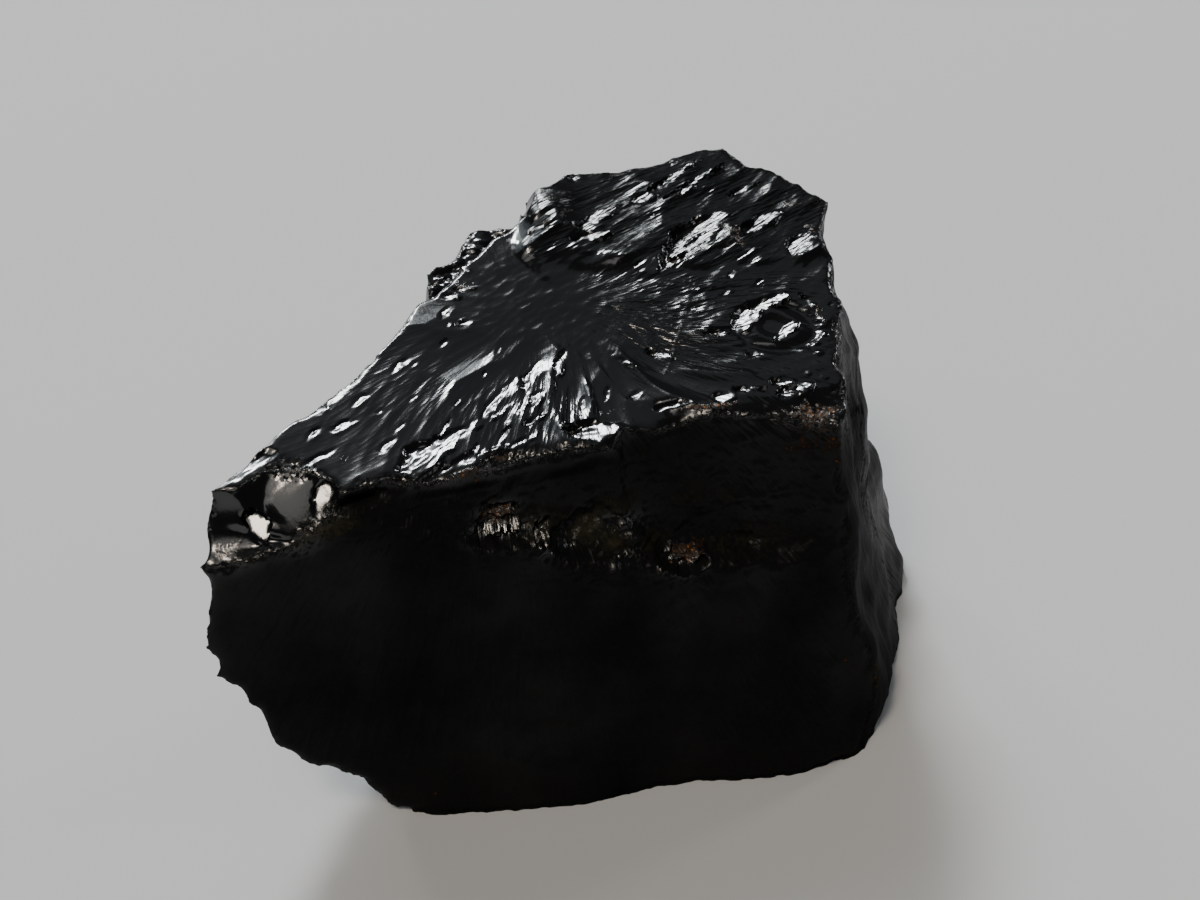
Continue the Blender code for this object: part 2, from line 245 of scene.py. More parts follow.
def flecks():
    """Many small flecks among the scars, each lying along the hackles it broke from."""
    found = []
    for n in range(FLECKS):
        u = 0.5 + 31.0 * chance(n, 1.0, FLECK_SALT)
        v = 19.0 * chance(n, 2.0, FLECK_SALT) - 1.5
        if v > 11.0 and u > 17.0:
            heading = RIDGES[2]
        else:
            heading = math.degrees(math.atan2(v - FAN_V, u - FAN_U))
        heading = heading + 50.0 * (chance(n, 3.0, FLECK_SALT) - 0.5)
        length = 0.24 + 0.50 * chance(n, 4.0, FLECK_SALT) ** 2
        width = 0.08 + 0.2 * length * chance(n, 5.0, FLECK_SALT)
        if math.hypot(u - FAN_U, v - FAN_V) > 4.2:
            found.append((u, v, heading, length, width))
    return found


TOP_SCARS = TOP_SCARS + flecks()
# A hairline crack that opened across the fan, as points u, v.
HAIRLINE = [
    (24.3, 9.9),
    (23.9, 9.2),
    (23.7, 8.3),
    (23.2, 7.5),
    (23.1, 6.9),
    (22.5, 5.9),
    (22.3, 5.2),
    (21.6, 4.1),
]


def groove(u, v, points, width):
    """One on a thin line through the points, fading to nought beside it."""
    nearest = np.full(u.shape, 99.0)
    for (u0, v0), (u1, v1) in zip(points, points[1:]):
        run, side = u1 - u0, v1 - v0
        t = np.clip(((u - u0) * run + (v - v0) * side) / (run * run + side * side), 0.0, 1.0)
        nearest = np.minimum(nearest, np.hypot(u - u0 - t * run, v - v0 - t * side))
    return np.exp(-((nearest / width) ** 2))


def fan_relief(u, v):
    """Hackles that spread from the start of the crack, the coarse ones first."""
    radius, bearing = fan_lines(u, v)
    quiet = lump(u, v, 5.0, 3.5, 6.5, 4.0)
    fade = profile(bearing, HACKLES_BY_BEARING) * (1.0 - 0.75 * quiet)
    strength = fade * np.clip(0.09 * (radius - 2.4), 0.03, 0.60)
    bearing = bearing + 0.22 * np.sin(radius * 0.28 - 0.6)
    h = strength * shells(np.log(radius) * 2.2, bearing * 4.6, 11, 1.3, 0.6)
    # Finer hackles ride on the coarse ones, in two steps, and come and go in gusts.
    gusts = (0.5 + 0.5 * np.sin(bearing * 5.0 + 1.0 + 0.8 * np.sin(radius * 0.9))) ** 1.5
    sway = bearing + 0.05 * wander(u, v, 1.7, 3.0)
    fine = (0.2 + 0.8 * gusts) * fade * np.clip(0.026 * (radius - 2.2), 0.004, 0.17)
    h = h + fine * shells(np.log(radius) * 2.8, sway * 15.0, 211, 1.4, 0.7)
    hair = liveliness(u, v, bearing) * np.clip(0.009 * (radius - 2.0), 0.0, 0.050)
    hair = hair * (1.0 - 0.35 * quiet)
    h = h + hair * shells(np.log(radius) * 6.5, sway * 33.0, 223, 1.3, 0.6)
    h = h - 0.25 * lump(u, v, 19.0, 5.5, 6.0, 4.0) - 0.05
    # Right of the start lies a feather of even hairlines, and round it only faint flakes.
    feather = lump(u, v, 22.2, 7.4, 3.6, 3.2) * ramp(radius - 2.4, 1.6)
    h = h + 0.070 * feather * shells(np.log(radius) * 4.0, sway * 20.0, 227, 1.3, 0.7)
    p, q = turned(u, v, FAN_U, FAN_V, 28.0)
    return h + 0.030 * ramp(4.2 - radius, 3.0) * shells(p / 0.75, q / 0.30, 237, 1.3, 0.7)


def ridge_relief(u, v):
    """The terrace: long parallel ridges in three sizes, on a floor that slopes away."""
    along, across = turned(u, v, *RIDGES)
    ridges = 0.38 * shells(along / 3.6, across / 1.15, 23, 1.2, 0.6)
    across = across + 0.15 * wander(u, v, 1.4, 5.0) - 0.012 * along * along
    uneven = 0.6 + 0.4 * wander(u, v, 1.9, 9.0)
    ridges = ridges + 0.13 * uneven * shells(along / 2.6, across / 0.42, 229, 1.4, 0.7)
    ridges = ridges + 0.045 * uneven * shells(along / 1.6, across / 0.24, 233, 1.3, 0.6)
    return profile(u, [(16.0, 0.3), (22.5, 0.22), (26.0, 0.06), (31.0, 0.0)]) + ridges


def top_ground(u, v):
    """The top face as the crack left it, before any flake was struck from it."""
    high = terrace(u, v)
    h = fan_relief(u, v) * (1.0 - high) + ridge_relief(u, v) * high
    h = h + 0.35 * lump(u, v, 17.9, 14.6, 1.2, 1.8)
    # The back left edge broke down in one ragged step; 0.922 is the slope of that edge.
    beyond = (v - 0.922 * u) / 1.36 + 0.26 * wander(u, v, 0.8, 61.0)
    beyond = beyond + 0.12 * wander(u, v, 0.3, 63.0)
    step = ramp(beyond - 0.25, 0.9)
    return h - (1.5 + 0.35 * shells(u / 0.9, v / 0.5, 241, 1.4, 0.7)) * step


def scar_lean(u, v):
    """The slopes of a flake scar on the top: they tip more the further right it lies."""
    return 0.065 + 0.0085 * u, 0.003 * v - 0.185


def eye(h, u, v):
    """Relief h with the eye: a smooth floor inside one raised rim with a pointed end."""
    along, across = turned(u, v, EYE_U, EYE_V, -16.0)
    radius = np.hypot(along / 1.12, across) + 0.05 * wander(u, v, 0.5, 13.0)
    radius = radius - 0.22 * np.clip(along / (radius + 0.2), 0.0, 1.0) ** 5
    floor = -0.15 + 0.02 * shells(along / 0.8, across / 0.3, 239, 1.2, 0.6)
    h = h + (floor - h) * ramp(1.75 - radius, 0.4)
    rim = profile(radius, [(0.42, 0.03), (0.88, 0.19), (0.96, 0.195), (1.52, 0.0)])
    h = h + rim * (1.0 + 0.15 * wander(u, v, 0.8, 17.0))
    h = scar(h, u, v, (26.35, 6.9, 52.0), (1.25, 0.52), -0.03, scar_lean(26.4, 6.9))
    h = scar(h, u, v, (27.6, 7.7, 8.0), (1.10, 0.34), 0.0, scar_lean(27.6, 7.7))
    return scar(h, u, v, (28.05, 5.75, 32.0), (0.90, 0.24), 0.02, scar_lean(28.0, 5.8))


SCAR_PLACES = np.array(TOP_SCARS)
SCAR_GROUND = top_ground(SCAR_PLACES[:, 0], SCAR_PLACES[:, 1])


def top_relief(u, v):
    """The whole top face, with its scars and the eye."""
    h = top_ground(u, v)
    for (spot_u, spot_v, heading, length, width), ground in zip(TOP_SCARS, SCAR_GROUND):
        spot = (spot_u, spot_v, heading)
        lean = scar_lean(spot_u, spot_v)
        h = scar(h, u, v, spot, (length, width), ground - 0.15 * width, lean, soft=0.5)
    return eye(h, u, v) - 0.35 * lump(u, v, 28.6, 0.6, 1.8, 1.2)


def grid_lines(low, high, step, close):
    """Lines over the face, twice as close between two values, and one far line each side."""
    first = np.arange(low, close[0], step)
    second = np.arange(close[0], close[1], step / 2.0)
    return np.concatenate([[-REACH], first, second, np.arange(close[1], high, step), [REACH]])


# What is kept of each slab: its object, the plane it was drawn on, its relief and start.
Slab = namedtuple("Slab", "body first along across out relief start")
slabs = []


def fracture(name, corners, span_u, span_v, step, relief, start, close=((0, 0), (0, 0))):
    """A slab lying against the stone, its inner face being the broken surface.

    start is u and v of the point where its crack began, and 1 or -1 for the way it ran.
    close holds the stretches of u and v that need points twice as close together.
    """
    first, second, third = (np.array(corner) for corner in corners)
    along = (second - first) / np.linalg.norm(second - first)
    out = np.cross(along, third - first)
    out = out / np.linalg.norm(out)
    across = np.cross(out, along)
    lines_u = grid_lines(span_u[0], span_u[1], step, close[0])
    lines_v = grid_lines(span_v[0], span_v[1], step, close[1])
    u, v = np.meshgrid(lines_u, lines_v, indexing="ij")
    h = np.clip(relief(u, v), -4.0, 4.0)
    flat = first + u[..., None] * along + v[..., None] * across
    near = (flat + h[..., None] * out).reshape(-1, 3)
    far = (flat + REACH * out).reshape(-1, 3)
    # The inner face is two triangles to a cell. Its rim goes out to a lid with one hub.
    index = np.arange(u.size).reshape(u.shape)
    a, b = index[:-1, :-1].ravel(), index[:-1, 1:].ravel()
    c, d = index[1:, 1:].ravel(), index[1:, :-1].ravel()
    inner = np.concatenate([np.stack([a, b, c], 1), np.stack([a, c, d], 1)])
    rim = np.concatenate([index[:-1, 0], index[-1, :-1], index[:0:-1, -1], index[0, :0:-1]])
    lid = u.size + np.arange(len(rim))
    next_rim, next_lid = np.roll(rim, -1), np.roll(lid, -1)
    hub = np.full(len(rim), u.size + len(rim))
    sides = [
        np.stack([rim, next_rim, next_lid], 1),
        np.stack([rim, next_lid, lid], 1),
        np.stack([lid, next_lid, hub], 1),
    ]
    points = np.concatenate([near, far[rim], far[rim].mean(axis=0)[None]]) * MM
    mesh = bpy.data.meshes.new(name)
    mesh.from_pydata(points.tolist(), [], np.concatenate([inner, *sides]).tolist())
    body = bpy.data.objects.new(name, mesh)
    body.location = (-MIDDLE_X * MM, -MIDDLE_Y * MM, 0.0)
    bpy.context.collection.objects.link(body)
    slabs.append(Slab(body, first, along, across, out, relief, start))


fracture(
    "fracture_top",
    (TOP_LEFT, TOP_RIGHT_FRONT, TOP_RIGHT_BACK),
    (-2.0, 33.5),
    (-3.5, 20.5),
    TOP_STEP,
    top_relief,
    (FAN_U, FAN_V, -1.0),
)


# ---------------------------------------------------------------------------------------
# Front face. A broad, nearly smooth and rather dull break. The band under the top edge
# split off further back, so a rough ledge with shell-shaped bites runs across below it.
FOOT_FRONT = (-4.9, -14.86, 0.0)
FOOT_RIGHT_FRONT = (13.9, -10.1, 0.0)
LEFT_TIP = (-17.5, -15.8, 15.6)
LEDGE_LEAN = (0.40, -0.95)
FRONT_STEP = 0.22
# The lip of the ledge, as points u, v, and how far the band above it is set back, by u.
LEDGE = [
    (-12.0, 15.7),
    (-8.3, 16.5),
    (-6.2, 17.4),
    (-3.3, 16.4),
    (-0.7, 15.3),
    (1.5, 14.9),
    (3.1, 14.3),
    (4.8, 13.1),
    (6.7, 12.7),
    (9.8, 11.8),
    (13.1, 11.6),
    (17.5, 11.1),
]
BAND_DEPTH = [
    (-7.0, 0.05),
    (-2.0, 0.6),
    (2.0, 1.0),
    (6.8, 1.1),
    (7.3, 1.4),
    (12.0, 1.35),
    (15.0, 0.8),
    (17.2, 0.3),
    (19.0, 0.1),
]
BITE_SHELLS = [(9.2, 12.3), (9.8, 12.6), (10.3, 12.5), (9.6, 12.0), (9.0, 12.8), (10.6, 12.1)]


def splintered(h, u, v):
    """Relief h with small shells in the bites, and upright splinters like a comb."""
    h = scar(h, u, v, (1.1, 16.3, 12.0), (0.65, 0.30), -0.95, LEDGE_LEAN)
    for tooth in range(7):
        spot = (0.30 * tooth, 15.35 + 0.05 * tooth, 84.0)
        h = scar(h, u, v, spot, (0.42, 0.14), -0.70 - 0.06 * (tooth % 2), LEDGE_LEAN)
    for tooth in range(3):
        spot = (2.65 + 0.28 * tooth, 14.95, 88.0)
        h = scar(h, u, v, spot, (0.60, 0.13), -0.66 - 0.08 * (tooth % 2), LEDGE_LEAN)
    for u0, v0 in BITE_SHELLS:
        h = scar(h, u, v, (u0, v0, 30.0), (0.28, 0.16), -0.75, (0.45, -1.03))
    return h


def front_relief(u, v):
    """Low wide shells, then the band and its ledge, then what broke out of the ledge."""
    along, across = turned(u, v, 0.0, 0.0, -14.0)
    h = 0.05 + 0.32 * shells(along / 9.0 + 0.3, across / 6.0 + 0.6, 31, 1.1, 0.4)
    h = h + 0.09 * shells(along / 3.4, across / 1.9, 37, 1.1, 0.5)
    h = h + 0.030 * shells(along / 1.5, across / 0.7, 241, 1.3, 0.6)
    ledge = profile(u, LEDGE) + 0.18 * wander(u, v, 0.4, 11.0)
    band = ramp(v - ledge - 0.5, 1.2)
    h = h - profile(u, BAND_DEPTH) * band
    h = h + 0.26 * band * shells(u / 1.7, v / 1.1, 41, 1.2, 0.6)
    # The ledge is splintered finely, most of all along its lip.
    near_ledge = np.exp(-(((v - ledge) / 1.3) ** 2))
    splinters = shells(u / 0.75, v / 0.55, 251, 1.4, 0.7)
    h = h + (0.015 + 0.16 * near_ledge + 0.04 * band) * splinters
    end = 6.9 - u + 0.25 * wander(u, v, 0.4, 47.0)
    h = h + 0.45 * ramp(v - 18.0, 1.0) * ramp(end, 0.5) * ramp(u + 3.0, 3.0)
    h = scar(h, u, v, (1.4, 15.6, 4.0), (1.9, 0.9), -0.85, (0.1, -0.45), 0.02, 0.9)
    h = scar(h, u, v, (5.7, 14.2, -12.0), (2.3, 1.1), -0.8, (0.1, -0.6), 0.02, 1.1)
    h = scar(h, u, v, (9.7, 12.5, -6.0), (1.4, 0.6), -0.8, (0.2, -0.6), 0.02, 1.0)
    grains = shells(u / 0.42, v / 0.34, 311, 1.4, 0.7)
    bites = lump(u, v, 5.7, 14.2, 2.3, 1.3) + lump(u, v, 9.7, 12.5, 1.4, 0.8)
    rough = np.clip(near_ledge + 0.5 * band + bites, 0.0, 1.4)
    h = splintered(h + 0.13 * grains * rough * ramp(u + 4.0, 4.0), u, v)
    h = np.minimum(h, dish(u, v, (-5.3, 18.2, 8.0), (1.9, 0.35), -0.9, 0.7))
    # The foot swells out to the right and falls back at its left end.
    h = h + 0.8 * lump(u, v, 5.0, 0.0, 7.0, 3.2)
    h = h + 1.7 * lump(u, v, 15.0, 0.5, 4.6, 4.2)
    return h - 0.9 * lump(u, v, -6.2, 0.5, 2.6, 2.5)


fracture(
    "fracture_front",
    (FOOT_FRONT, FOOT_RIGHT_FRONT, LEFT_TIP),
    (-14.5, 21.5),
    (-1.5, 21.5),
    FRONT_STEP,
    front_relief,
    (2.0, 30.0, -1.0),
    ((-1.5, 11.5), (11.5, 17.5)),
)


# ---------------------------------------------------------------------------------------
# Left corner. A glassy scoop struck off the tip, with upright flakes side by side beyond
# it and a crushed strip at the very end.
CHIP_END = (-11.5, -14.0, 17.2)
CHIP_LEAN = (0.03, -0.51)


def chip_relief(u, v):
    """Two dishes with a panel and a sweep in them, then the flakes and the crushed strip."""
    h = dish(u, v, (1.6, 1.5, 0.0), (2.6, 2.2), -0.60, 0.75, (0.1, -0.25))
    h = np.minimum(h, dish(u, v, (4.7, 1.3, 72.0), (2.2, 1.5), -0.62, 0.5, (-0.30, -0.1)))
    h = scar(h, u, v, (4.8, 1.5, 82.0), (2.7, 1.1), -0.40, (-0.02, -0.30), 0.0, 1.0)
    h = scar(h, u, v, (1.9, 0.9, -22.0), (2.1, 0.6), -0.50, (-0.02, -0.28), 0.0, 0.9)
    h = h + 0.09 * lump(u, v, 4.9, 0.9, 1.3, 1.6)
    h = scar(h, u, v, (3.15, 1.15, 82.0), (0.90, 0.42), -0.55, CHIP_LEAN, 0.0)
    h = scar(h, u, v, (6.0, 1.25, 50.0), (0.80, 0.45), -0.40, CHIP_LEAN, 0.0)
    h = scar(h, u, v, (7.3, 0.5, -10.0), (0.70, 0.24), -0.2, CHIP_LEAN, 0.0)
    crushed = ramp(-0.2 - u, 0.6)
    h = h + 0.14 * shells(u / 0.9, v / 0.9, 53, 1.0, 0.5) * crushed
    h = h + 0.10 * shells(u / 0.35, v / 0.35, 57, 1.2, 0.6) * crushed
    h = h + 0.12 * shells(u / 0.4, v / 0.3, 59, 1.2, 0.6) * ramp(u - 6.4, 0.8)
    return h + 0.5 * ramp(u - 7.2, 1.5)


fracture(
    "fracture_chip",
    (LEFT_TIP, CHIP_END, TOP_LEFT),
    (-2.5, 9.0),
    (-2.0, 6.0),
    TOP_STEP,
    chip_relief,
    (3.0, 9.0, -1.0),
)


# ---------------------------------------------------------------------------------------
# Left side and underside of the tip. Large curved shells with faint ribs, a shoulder that
# sticks out near the back, and a splintery stepped break under the overhanging tip.
TOP_BACK_LEFT = (-1.9, 6.7, 23.5)
FOOT_BACK_LEFT = (-8.0, -1.0, 0.0)
FOOT_LEFT_BACK = (-7.0, 2.0, 0.0)
FOOT_LEFT_FRONT = (-9.0, -16.0, 0.4)
LEFT_KNEE = (-17.6, -16.6, 10.1)
LEFT_START = (7.5, -3.0, 1.0)
SIDE_STEP = 0.27


def hackles(u, v, start, depth, salt):
    """Ridges that spread out from where a crack began, with faint ribs across them."""
    radius = np.hypot(u - start[0], v - start[1]) + 1.0
    bearing = np.arctan2(u - start[0], start[2] * (v - start[1]))
    bearing = bearing + 0.05 * wander(u, v, 2.9, salt)
    run = np.log(radius) + 0.16 * wander(u, v, 1.9, salt + 2.0)
    bold = shells(run * 2.6, bearing * 6.5, salt + 9, 1.3, 0.6)
    middle = shells(run * 5.0, bearing * 16.0, salt, 1.3, 0.7)
    thin = shells(run * 9.0, bearing * 36.0, salt + 5, 1.3, 0.6)
    calm = np.clip(0.6 + 0.7 * wander(u, v, 2.9, salt * 0.7), 0.25, 1.0)
    growth = np.clip(radius / 12.0, 0.1, 1.2)
    ribs = np.sin(radius * 2.6 + 2.2 * wander(u, v, 3.1, salt * 1.3))
    relief = growth * (1.5 * bold + calm * (0.9 * middle + 0.32 * thin))
    return depth * (relief + 0.10 * ribs * (1.0 - calm))


def flakes(h, u, v, count, span_u, span_v, salt):
    """Relief h with shallow shells struck out of it here and there, all sizes."""
    for n in range(count):
        u0 = span_u[0] + (span_u[1] - span_u[0]) * chance(n, 1.0, salt)
        v0 = span_v[0] + (span_v[1] - span_v[0]) * chance(n, 2.0, salt)
        length = 0.6 + 1.7 * chance(n, 3.0, salt) ** 2
        size = (length, length * (0.45 + 0.4 * chance(n, 4.0, salt)))
        depth = 0.10 * length
        lean = (0.4 * chance(n, 5.0, salt) - 0.2, 0.4 * chance(n, 6.0, salt) - 0.2)
        ground = h.ravel()[np.argmin((u - u0) ** 2 + (v - v0) ** 2)]
        spot = (u0, v0, 180.0 * chance(n, 7.0, salt))
        bowl = dish(u, v, spot, size, ground - depth, 1.5 * depth, lean)
        ring = np.hypot(u - u0 - length, v - v0)
        h = np.minimum(h, bowl + 0.012 * np.sin(ring * 5.0))
    return h


def left_relief(u, v):
    """Two great shells with ribs, the left end falling back, the shoulder and hackles."""
    along, across = turned(u, v, 0.0, 0.0, 33.0)
    h = 1.7 * shells(along / 8.5 + 0.4, across / 6.0 + 0.1, 61, 1.2, 0.5)
    h = np.minimum(h, dish(u, v, (7.5, 8.0, 62.0), (7.5, 4.6), -1.5, 1.3))
    h = np.minimum(h, dish(u, v, (13.5, 15.5, 20.0), (5.0, 3.2), -1.0, 1.2))
    h = h + 0.55 * shells(along / 3.9, across / 2.3, 67, 1.5, 0.6)
    ring = np.hypot(u - LEFT_START[0], v - LEFT_START[1])
    h = h + 0.06 * np.sin(ring * 2.3) * lump(u, v, 7.5, 8.0, 4.5, 6.0)
    h = h * ramp(u - 0.5, 7.0) - 0.85 * lump(u, v, -4.0, 7.0, 4.5, 5.0)
    near_end = u - 16.4 - 0.5 * wander(u, v, 1.3, 43.0)
    shoulder = ramp(near_end, 3.2) * ramp(22.4 - u, 2.4) * ramp(-v + 13.0, 12.0)
    fresh = hackles(u, v, LEFT_START, 0.42, 257) * (0.2 + 0.8 * ramp(u - 4.0, 6.0))
    return flakes(h + 2.1 * shoulder + fresh, u, v, 26, (1.0, 24.0), (0.0, 22.0), 411)


def under_relief(u, v):
    """Steps and splinters, swelling below the tip and hollow on both sides of it."""
    rise = np.floor(v / 2.3 + 0.8 * np.sin(u * 0.45)) % 2.0
    along, across = turned(u, v, 0.0, 0.0, 18.0)
    h = 0.25 * rise + 0.55 * shells(along / 3.4, across / 2.0, 71, 1.3, 0.6)
    h = h + 0.16 * shells(along / 1.1, across / 0.7, 263, 1.3, 0.6)
    h = h - 0.7 * lump(u, v, 20.0, 14.0, 3.0, 3.5)
    h = h + 0.9 * lump(u, v, 19.5, 7.5, 5.0, 3.2) + 0.6 * lump(u, v, 18.0, 1.5, 3.5, 2.5)
    return h - 0.9 * lump(u, v, 9.0, 5.5, 6.0, 3.5)


fracture(
    "fracture_left",
    (TOP_LEFT, TOP_BACK_LEFT, FOOT_BACK_LEFT),
    (-6.0, 29.0),
    (-4.0, 26.0),
    SIDE_STEP,
    left_relief,
    LEFT_START,
)
fracture(
    "fracture_under",
    (FOOT_LEFT_BACK, FOOT_LEFT_FRONT, LEFT_KNEE),
    (-8.0, 22.0),
    (-3.0, 17.0),
    SIDE_STEP,
    under_relief,
    (9.0, 24.0, -1.0),
)


# ---------------------------------------------------------------------------------------
# Right side. Two long scoops side by side behind a narrow hollow strip, all struck from
# above, so faint curved ribs cross them.
FOOT_RIGHT = (16.5, -1.5, 0.0)
FOOT_RIGHT_BACK = (16.74, 5.5, 0.0)
RIGHT_FRONT_START = (1.0, 26.0, -1.0)
RIGHT_START = (4.0, 26.0, -1.0)


def right_front_relief(u, v):
    """The narrow strip: hollow half way up and swelling out near its foot."""
    along, across = turned(u, v, 0.0, 0.0, 24.0)
    h = 0.5 * shells(along / 3.6, across / 5.2, 79, 1.2, 0.5)
    h = h + 0.3 * shells(along / 1.9, across / 2.6, 83, 1.4, 0.5)
    h = h - 0.5 * np.exp(-(((v - 9.0) / 4.5) ** 2))
    h = h + hackles(u, v, RIGHT_FRONT_START, 0.30, 269)
    h = h + 0.5 * lump(u, v, 1.0, 2.8, 4.0, 1.8)
    return flakes(h, u, v, 12, (-1.0, 9.0), (0.0, 19.0), 413)


def right_relief(u, v):
    """The two long scoops, with ribs round their start."""
    along, across = turned(u, v, 0.0, 0.0, -27.0)
    h = 0.2 + 1.0 * shells(along / 7.0 + 0.2, across / 6.0, 89, 1.2, 0.5)
    h = np.minimum(h, dish(u, v, (2.5, 7.0, 76.0), (8.0, 4.0), -0.9, 1.2))
    h = np.minimum(h, dish(u, v, (7.5, 14.0, 104.0), (8.0, 3.2), -0.9, 1.2))
    h = h + 0.50 * shells(along / 3.3, across / 2.4, 97, 1.5, 0.6)
    ring = np.hypot(u - 4.0, v - 24.0)
    h = h + 0.05 * np.sin(ring * 2.1) * lump(u, v, 4.0, 9.0, 5.0, 8.0)
    h = h + hackles(u, v, RIGHT_START, 0.38, 271)
    return flakes(h, u, v, 22, (-3.0, 10.0), (0.0, 24.0), 415)


fracture(
    "fracture_right_front",
    (FOOT_RIGHT_FRONT, FOOT_RIGHT, TOP_RIGHT_FRONT),
    (-4.0, 12.0),
    (-2.0, 22.0),
    SIDE_STEP,
    right_front_relief,
    RIGHT_FRONT_START,
)
fracture(
    "fracture_right",
    (FOOT_RIGHT, FOOT_RIGHT_BACK, TOP_RIGHT_BACK),
    (-8.0, 14.0),
    (-2.0, 27.0),
    SIDE_STEP,
    right_relief,
    RIGHT_START,
)


# ---------------------------------------------------------------------------------------
# Back. One wide shell struck from the top edge, crossed by ribs, with a smaller one below
# it and a narrow break beside it.
TOP_BACK = (5.6, 9.4, 23.7)
FOOT_BACK_RIGHT = (13.5, 7.0, 0.0)
FOOT_BACK = (2.5, 9.0, 0.0)
BACK_RIGHT_START = (6.0, -4.0, 1.0)
BACK_START = (4.5, -1.5, 1.0)


def back_right_relief(u, v):
    """The narrow break: one long scoop with hackles down it."""
    along, across = turned(u, v, 0.0, 0.0, 31.0)
    h = 1.0 * shells(along / 5.0 + 0.5, across / 6.5, 101, 1.2, 0.5)
    h = np.minimum(h, dish(u, v, (6.0, 13.0, 98.0), (7.0, 3.6), -1.0, 1.2))
    h = h + 0.50 * shells(along / 3.4, across / 2.2, 103, 1.5, 0.6)
    h = h + hackles(u, v, BACK_RIGHT_START, 0.38, 277)
    return flakes(h, u, v, 20, (0.0, 12.0), (0.0, 24.0), 417)


def back_relief(u, v):
    """The wide shell with its ribs, and the smaller one below."""
    along, across = turned(u, v, 0.0, 0.0, -22.0)
    h = 1.1 * shells(along / 6.0, across / 5.0, 107, 1.2, 0.5)
    h = np.minimum(h, dish(u, v, (4.0, 6.5, 80.0), (7.5, 5.5), -1.3, 1.3))
    h = np.minimum(h, dish(u, v, (0.5, 16.0, 40.0), (6.0, 4.0), -1.0, 1.2))
    h = h + 0.55 * shells(along / 3.8, across / 2.4, 109, 1.5, 0.6)
    ring = np.hypot(u - BACK_START[0], v - BACK_START[1])
    h = h + 0.05 * np.sin(ring * 2.3) * lump(u, v, 4.0, 6.5, 4.0, 5.0) - 0.2
    h = h + hackles(u, v, BACK_START, 0.38, 281)
    return flakes(h, u, v, 20, (-5.0, 9.0), (0.0, 24.0), 419)


fracture(
    "fracture_back_right",
    (TOP_BACK, TOP_RIGHT_BACK, FOOT_BACK_RIGHT),
    (-4.0, 18.0),
    (-3.0, 26.0),
    SIDE_STEP,
    back_right_relief,
    BACK_RIGHT_START,
)
fracture(
    "fracture_back",
    (TOP_BACK_LEFT, TOP_BACK, FOOT_BACK),
    (-12.0, 12.0),
    (-3.0, 26.0),
    SIDE_STEP,
    back_relief,
    BACK_START,
)


# ---------------------------------------------------------------------------------------
# The stone itself: one unbroken block standing on its flat parting, with every fracture
# struck off it in turn. Its edges have crumbled a little since.
BLOCK_LOW = (-24.0, -24.0, 0.0)
BLOCK_HIGH = (24.0, 18.0, 28.0)
(x0, y0, z0), (x1, y1, z1) = BLOCK_LOW, BLOCK_HIGH
corners = [(x, y, z) for z in (z0, z1) for x, y in ((x0, y0), (x1, y0), (x1, y1), (x0, y1))]
sides = [(0, 2, 1), (0, 3, 2), (4, 5, 6), (4, 6, 7)]
for k in range(4):
    sides += [(k, (k + 1) % 4, 4 + (k + 1) % 4), (k, 4 + (k + 1) % 4, 4 + k)]
mesh = bpy.data.meshes.new("elite_shungite_lump")
mesh.from_pydata([[c * MM for c in corner] for corner in corners], [], sides)
stone = bpy.data.objects.new("elite_shungite_lump", mesh)
bpy.context.collection.objects.link(stone)
for slab in slabs:
    cut = stone.modifiers.new(slab.body.name, "BOOLEAN")
    cut.operation = "DIFFERENCE"
    cut.solver = "MANIFOLD"
    cut.object = slab.body
depsgraph = bpy.context.evaluated_depsgraph_get()
struck = bpy.data.meshes.new_from_object(stone.evaluated_get(depsgraph))
stone.modifiers.clear()
stone.data = struck
for slab in slabs:
    bpy.data.objects.remove(slab.body, do_unlink=True)

# Where every point lies: its depth under each fracture, the nearest one and the next.
TOP, FRONT, CHIP, LEFT, UNDER, RIGHT_FRONT, RIGHT, BACK_RIGHT, BACK, BASE = range(10)
points = np.empty(len(struck.vertices) * 3)
struck.vertices.foreach_get("co", points)
points = points.reshape(-1, 3) / MM
bench = points + np.array([MIDDLE_X, MIDDLE_Y, 0.0])
places = []
depths = []
for slab in slabs:
    u, v = (bench - slab.first) @ slab.along, (bench - slab.first) @ slab.across
    places.append((u, v))
    depths.append(np.abs(slab.relief(u, v) - (bench - slab.first) @ slab.out))
depths.append(np.abs(bench[:, 2]))
depths = np.array(depths)
face, neighbour = np.argsort(depths, axis=0)[:2]
from_edge = depths[neighbour, np.arange(len(points))]
glassy = (face == TOP) | (face == CHIP)


def crumbs(p, size, salt):
    """Small random bowls through space: one at the middle of each, nought at its rim."""
    cell = p / size
    base = np.floor(cell)
    lowest = np.full(len(p), 9.0)
    for step in np.ndindex(3, 3, 3):
        i, j, k = (base + np.array(step) - 1.0).T
        shift = [chance(i + 57.0 * k, j, salt + n) for n in range(3)]
        gap = cell - np.stack([i, j, k], 1) - np.stack(shift, 1)
        height = (gap**2).sum(1) + 0.8 * chance(i + 57.0 * k, j, salt + 3)
        lowest = np.minimum(lowest, height)
    return np.clip(1.0 - 1.4 * lowest, 0.0, 1.0)


def beside(distance, width):
    """One at nought distance, fading out over the width."""
    return np.exp(-((distance / width) ** 2))


